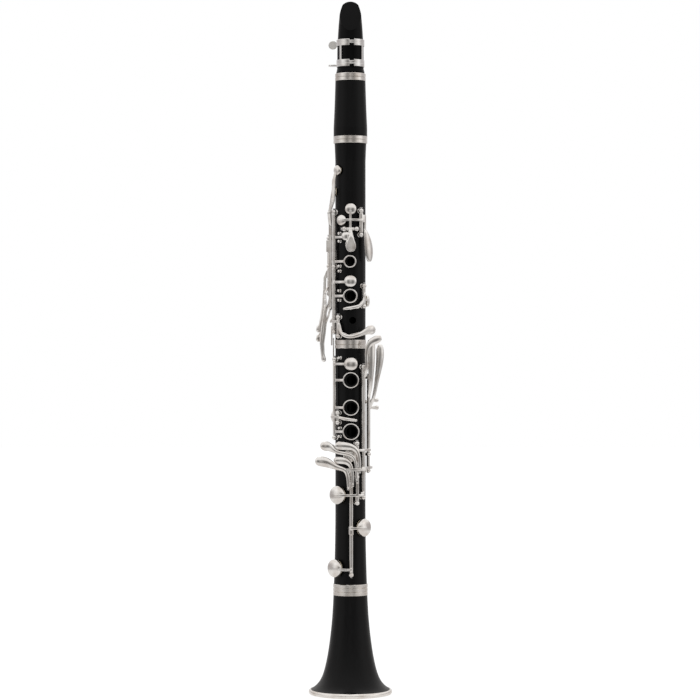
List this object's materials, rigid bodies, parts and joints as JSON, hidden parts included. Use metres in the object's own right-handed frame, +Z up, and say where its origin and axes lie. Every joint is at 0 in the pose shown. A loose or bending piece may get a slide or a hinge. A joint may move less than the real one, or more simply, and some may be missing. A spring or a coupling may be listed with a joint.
{
  "type": "clarinet",
  "caption": "Straight black woodwind with a flared bell, a beak mouthpiece, finger rings and bright hinged keys; its sections pull apart at corked joints.",
  "frame": {"origin": "centre of the bell foot, on the plane it stands on", "axes": "+Z up the bore towards the mouthpiece, -Y the side with the finger holes, +X to the viewer's right when the finger holes face the viewer"},
  "size_m": [0.0796, 0.0796, 0.6604],
  "materials": {
    "body": "satin black",
    "mouthpiece": "polished black",
    "key_plate": "bright nickel",
    "silver_ring": "bright nickel",
    "ligature": "bright nickel",
    "steel": "turned steel",
    "liner": "plated",
    "pad": "skin over felt",
    "cork": "greased cork",
    "cane": "shaved cane"
  },
  "bodies": {
    "bell": {"bell": "body", "bell_rings": "silver_ring"},
    "lower_joint": {"lower_joint": "body", "lower_joint_cork": "cork", "lower_joint_ring": "silver_ring", "lower_joint_posts": "key_plate", "lower_joint_rods": "steel", "thumb_rest": "key_plate"},
    "upper_joint": {"upper_joint": "body", "upper_joint_corks": "cork", "upper_joint_posts": "key_plate", "upper_joint_rods": "steel", "upper_joint_tubes": "liner"},
    "barrel": {"barrel": "body", "barrel_rings": "silver_ring"},
    "mouthpiece": {"mouthpiece": "mouthpiece", "mouthpiece_cork": "cork", "reed": "cane"},
    "ligature": {"ligature": "ligature"},
    "ligature_screw_upper": {"ligature_screw_upper": "ligature"},
    "ligature_screw_lower": {"ligature_screw_lower": "ligature"},
    "register_key": {"register_key": "key_plate", "register_pad": "pad"},
    "first_ring_key": {"first_ring_key": "key_plate", "first_ring_pad": "pad"},
    "thumb_ring_key": {"thumb_ring_key": "key_plate"},
    "throat_a_key": {"throat_a_key": "key_plate", "throat_a_pad": "pad"},
    "throat_gsharp_key": {"throat_gsharp_key": "key_plate", "throat_gsharp_pad": "pad"},
    "side_1_key": {"side_1_key": "key_plate", "side_1_pad": "pad"},
    "side_2_key": {"side_2_key": "key_plate", "side_2_pad": "pad"},
    "side_3_key": {"side_3_key": "key_plate", "side_3_pad": "pad"},
    "side_4_key": {"side_4_key": "key_plate", "side_4_pad": "pad"},
    "left_sliver_key": {"left_sliver_key": "key_plate", "left_sliver_pad": "pad"},
    "csharp_gsharp_key": {"csharp_gsharp_key": "key_plate", "csharp_gsharp_pad": "pad"},
    "lower_ring_key": {"lower_ring_key": "key_plate", "lower_ring_pad": "pad"},
    "second_ring_key": {"second_ring_key": "key_plate", "second_ring_pad": "pad"},
    "b_fsharp_key": {"b_fsharp_key": "key_plate", "b_fsharp_pad": "pad"},
    "ab_eb_key": {"ab_eb_key": "key_plate", "ab_eb_pad": "pad"},
    "f_c_key": {"f_c_key": "key_plate", "f_c_pad": "pad"},
    "e_b_key": {"e_b_key": "key_plate", "e_b_pad": "pad"},
    "fsharp_csharp_key": {"fsharp_csharp_key": "key_plate", "fsharp_csharp_pad": "pad"},
    "left_f_c_lever": {"left_f_c_lever": "key_plate"},
    "left_fsharp_csharp_lever": {"left_fsharp_csharp_lever": "key_plate"},
    "left_e_b_lever": {"left_e_b_lever": "key_plate"}
  },
  "joints": [
    {"name": "lower_joint_pull", "type": "slide", "parent": "bell", "child": "lower_joint", "axis": [0, 0, 1], "range_m": [0, 0.022]},
    {"name": "upper_joint_pull", "type": "slide", "parent": "lower_joint", "child": "upper_joint", "axis": [0, 0, 1], "range_m": [0, 0.021]},
    {"name": "barrel_pull", "type": "slide", "parent": "upper_joint", "child": "barrel", "axis": [0, 0, 1], "range_m": [0, 0.023]},
    {"name": "mouthpiece_pull", "type": "slide", "parent": "barrel", "child": "mouthpiece", "axis": [0, 0, 1], "range_m": [0, 0.018]},
    {"name": "ligature_slide", "type": "slide", "parent": "mouthpiece", "child": "ligature", "axis": [0, 0, 1], "range_m": [0, 0.066]},
    {"name": "upper_screw_turn", "type": "hinge", "parent": "ligature", "child": "ligature_screw_upper", "pos_m": [0, 0.0159, 0.6197], "axis": [1, 0, 0], "range_deg": [0, 720]},
    {"name": "lower_screw_turn", "type": "hinge", "parent": "ligature", "child": "ligature_screw_lower", "pos_m": [0, 0.0159, 0.6001], "axis": [1, 0, 0], "range_deg": [0, 720]},
    {"name": "register_key_hinge", "type": "hinge", "parent": "upper_joint", "child": "register_key", "pos_m": [0, 0.0173, 0.452], "axis": [-1, 0, 0], "range_deg": [0, 3.5], "stiffness_Nm_per_rad": 0.02, "springref_deg": -28.65},
    {"name": "first_ring_key_hinge", "type": "hinge", "parent": "upper_joint", "child": "first_ring_key", "pos_m": [-0.01555, -0.00758, 0.43], "axis": [0, 0, 1], "range_deg": [0, 5], "stiffness_Nm_per_rad": 0.02, "springref_deg": -28.65},
    {"name": "thumb_ring_key_hinge", "type": "hinge", "parent": "upper_joint", "child": "thumb_ring_key", "pos_m": [-0.01106, 0.01318, 0.4112], "axis": [0, 0, -1], "range_deg": [0, 4], "stiffness_Nm_per_rad": 0.02, "springref_deg": -28.65},
    {"name": "throat_a_key_hinge", "type": "hinge", "parent": "upper_joint", "child": "throat_a_key", "pos_m": [0, -0.0173, 0.442], "axis": [1, 0, 0], "range_deg": [0, 6], "stiffness_Nm_per_rad": 0.02, "springref_deg": -28.65},
    {"name": "throat_gsharp_key_hinge", "type": "hinge", "parent": "upper_joint", "child": "throat_gsharp_key", "pos_m": [0.01004, -0.01434, 0.448], "axis": [0, 0, 1], "range_deg": [0, 8], "stiffness_Nm_per_rad": 0.02, "springref_deg": -28.65},
    {"name": "side_1_key_hinge", "type": "hinge", "parent": "upper_joint", "child": "side_1_key", "pos_m": [-0.0204, 0.003, 0.426], "axis": [0, 0, -1], "range_deg": [0, 7], "stiffness_Nm_per_rad": 0.02, "springref_deg": -28.65},
    {"name": "side_2_key_hinge", "type": "hinge", "parent": "upper_joint", "child": "side_2_key", "pos_m": [-0.0204, 0.003, 0.415], "axis": [0, 0, -1], "range_deg": [0, 7], "stiffness_Nm_per_rad": 0.02, "springref_deg": -28.65},
    {"name": "side_3_key_hinge", "type": "hinge", "parent": "upper_joint", "child": "side_3_key", "pos_m": [-0.0204, 0.003, 0.389], "axis": [0, 0, 1], "range_deg": [0, 7], "stiffness_Nm_per_rad": 0.02, "springref_deg": -28.65},
    {"name": "side_4_key_hinge", "type": "hinge", "parent": "upper_joint", "child": "side_4_key", "pos_m": [-0.0204, 0.003, 0.4], "axis": [0, 0, 1], "range_deg": [0, 7], "stiffness_Nm_per_rad": 0.02, "springref_deg": -28.65},
    {"name": "left_sliver_key_hinge", "type": "hinge", "parent": "upper_joint", "child": "left_sliver_key", "pos_m": [0.01278, -0.01151, 0.3786], "axis": [0, 0, -1], "range_deg": [0, 5.5], "stiffness_Nm_per_rad": 0.02, "springref_deg": -28.65},
    {"name": "csharp_gsharp_key_hinge", "type": "hinge", "parent": "upper_joint", "child": "csharp_gsharp_key", "pos_m": [-0.01155, -0.01328, 0.3496], "axis": [0, 0, 1], "range_deg": [0, 5], "stiffness_Nm_per_rad": 0.02, "springref_deg": -28.65},
    {"name": "lower_ring_key_hinge", "type": "hinge", "parent": "lower_joint", "child": "lower_ring_key", "pos_m": [-0.01496, -0.00829, 0.2815], "axis": [0, 0, 1], "range_deg": [0, 5], "stiffness_Nm_per_rad": 0.02, "springref_deg": -28.65},
    {"name": "second_ring_key_hinge", "type": "hinge", "parent": "upper_joint", "child": "second_ring_key", "pos_m": [-0.01555, -0.00758, 0.375], "axis": [0, 0, 1], "range_deg": [0, 5], "stiffness_Nm_per_rad": 0.02, "springref_deg": -28.65},
    {"name": "b_fsharp_key_hinge", "type": "hinge", "parent": "lower_joint", "child": "b_fsharp_key", "pos_m": [-0.01187, -0.01273, 0.2632], "axis": [0, 0, 1], "range_deg": [0, 6], "stiffness_Nm_per_rad": 0.02, "springref_deg": -28.65},
    {"name": "ab_eb_key_hinge", "type": "hinge", "parent": "lower_joint", "child": "ab_eb_key", "pos_m": [0.00076, -0.01748, 0.178], "axis": [0, 0, -1], "range_deg": [0, 8], "stiffness_Nm_per_rad": 0.02, "springref_deg": -28.65},
    {"name": "f_c_key_hinge", "type": "hinge", "parent": "lower_joint", "child": "f_c_key", "pos_m": [0.00623, -0.01667, 0.195], "axis": [0, 0, -1], "range_deg": [0, 6], "stiffness_Nm_per_rad": 0.03, "springref_deg": -28.65},
    {"name": "e_b_key_hinge", "type": "hinge", "parent": "lower_joint", "child": "e_b_key", "pos_m": [0.00076, -0.01748, 0.163], "axis": [0, 0, -1], "range_deg": [0, 6], "stiffness_Nm_per_rad": 0.03, "springref_deg": -28.65},
    {"name": "fsharp_csharp_key_hinge", "type": "hinge", "parent": "lower_joint", "child": "fsharp_csharp_key", "pos_m": [0.00623, -0.01667, 0.223], "axis": [0, 0, -1], "range_deg": [0, 6], "stiffness_Nm_per_rad": 0.03, "springref_deg": -28.65},
    {"name": "left_f_c_lever_hinge", "type": "hinge", "parent": "lower_joint", "child": "left_f_c_lever", "pos_m": [0.01209, -0.01252, 0.25], "axis": [0, 0, 1], "range_deg": [0, 6.2], "stiffness_Nm_per_rad": 0.004, "springref_deg": -5.73},
    {"name": "left_fsharp_csharp_lever_hinge", "type": "hinge", "parent": "lower_joint", "child": "left_fsharp_csharp_lever", "pos_m": [0.01721, -0.00559, 0.265], "axis": [0, 0, 1], "range_deg": [0, 3.3], "stiffness_Nm_per_rad": 0.004, "springref_deg": -5.73},
    {"name": "left_e_b_lever_hinge", "type": "hinge", "parent": "lower_joint", "child": "left_e_b_lever", "pos_m": [0.01697, 0.00685, 0.245], "axis": [0, 0, 1], "range_deg": [0, 3.2], "stiffness_Nm_per_rad": 0.004, "springref_deg": -5.73}
  ],
  "couplings": [
    {"joint": "second_ring_key_hinge", "follows": "lower_ring_key_hinge", "ratio": 1},
    {"joint": "thumb_ring_key_hinge", "follows": "first_ring_key_hinge", "ratio": 0.8},
    {"joint": "left_f_c_lever_hinge", "follows": "f_c_key_hinge", "ratio": 1},
    {"joint": "left_fsharp_csharp_lever_hinge", "follows": "fsharp_csharp_key_hinge", "ratio": 0.53},
    {"joint": "left_e_b_lever_hinge", "follows": "e_b_key_hinge", "ratio": 0.51}
  ]
}
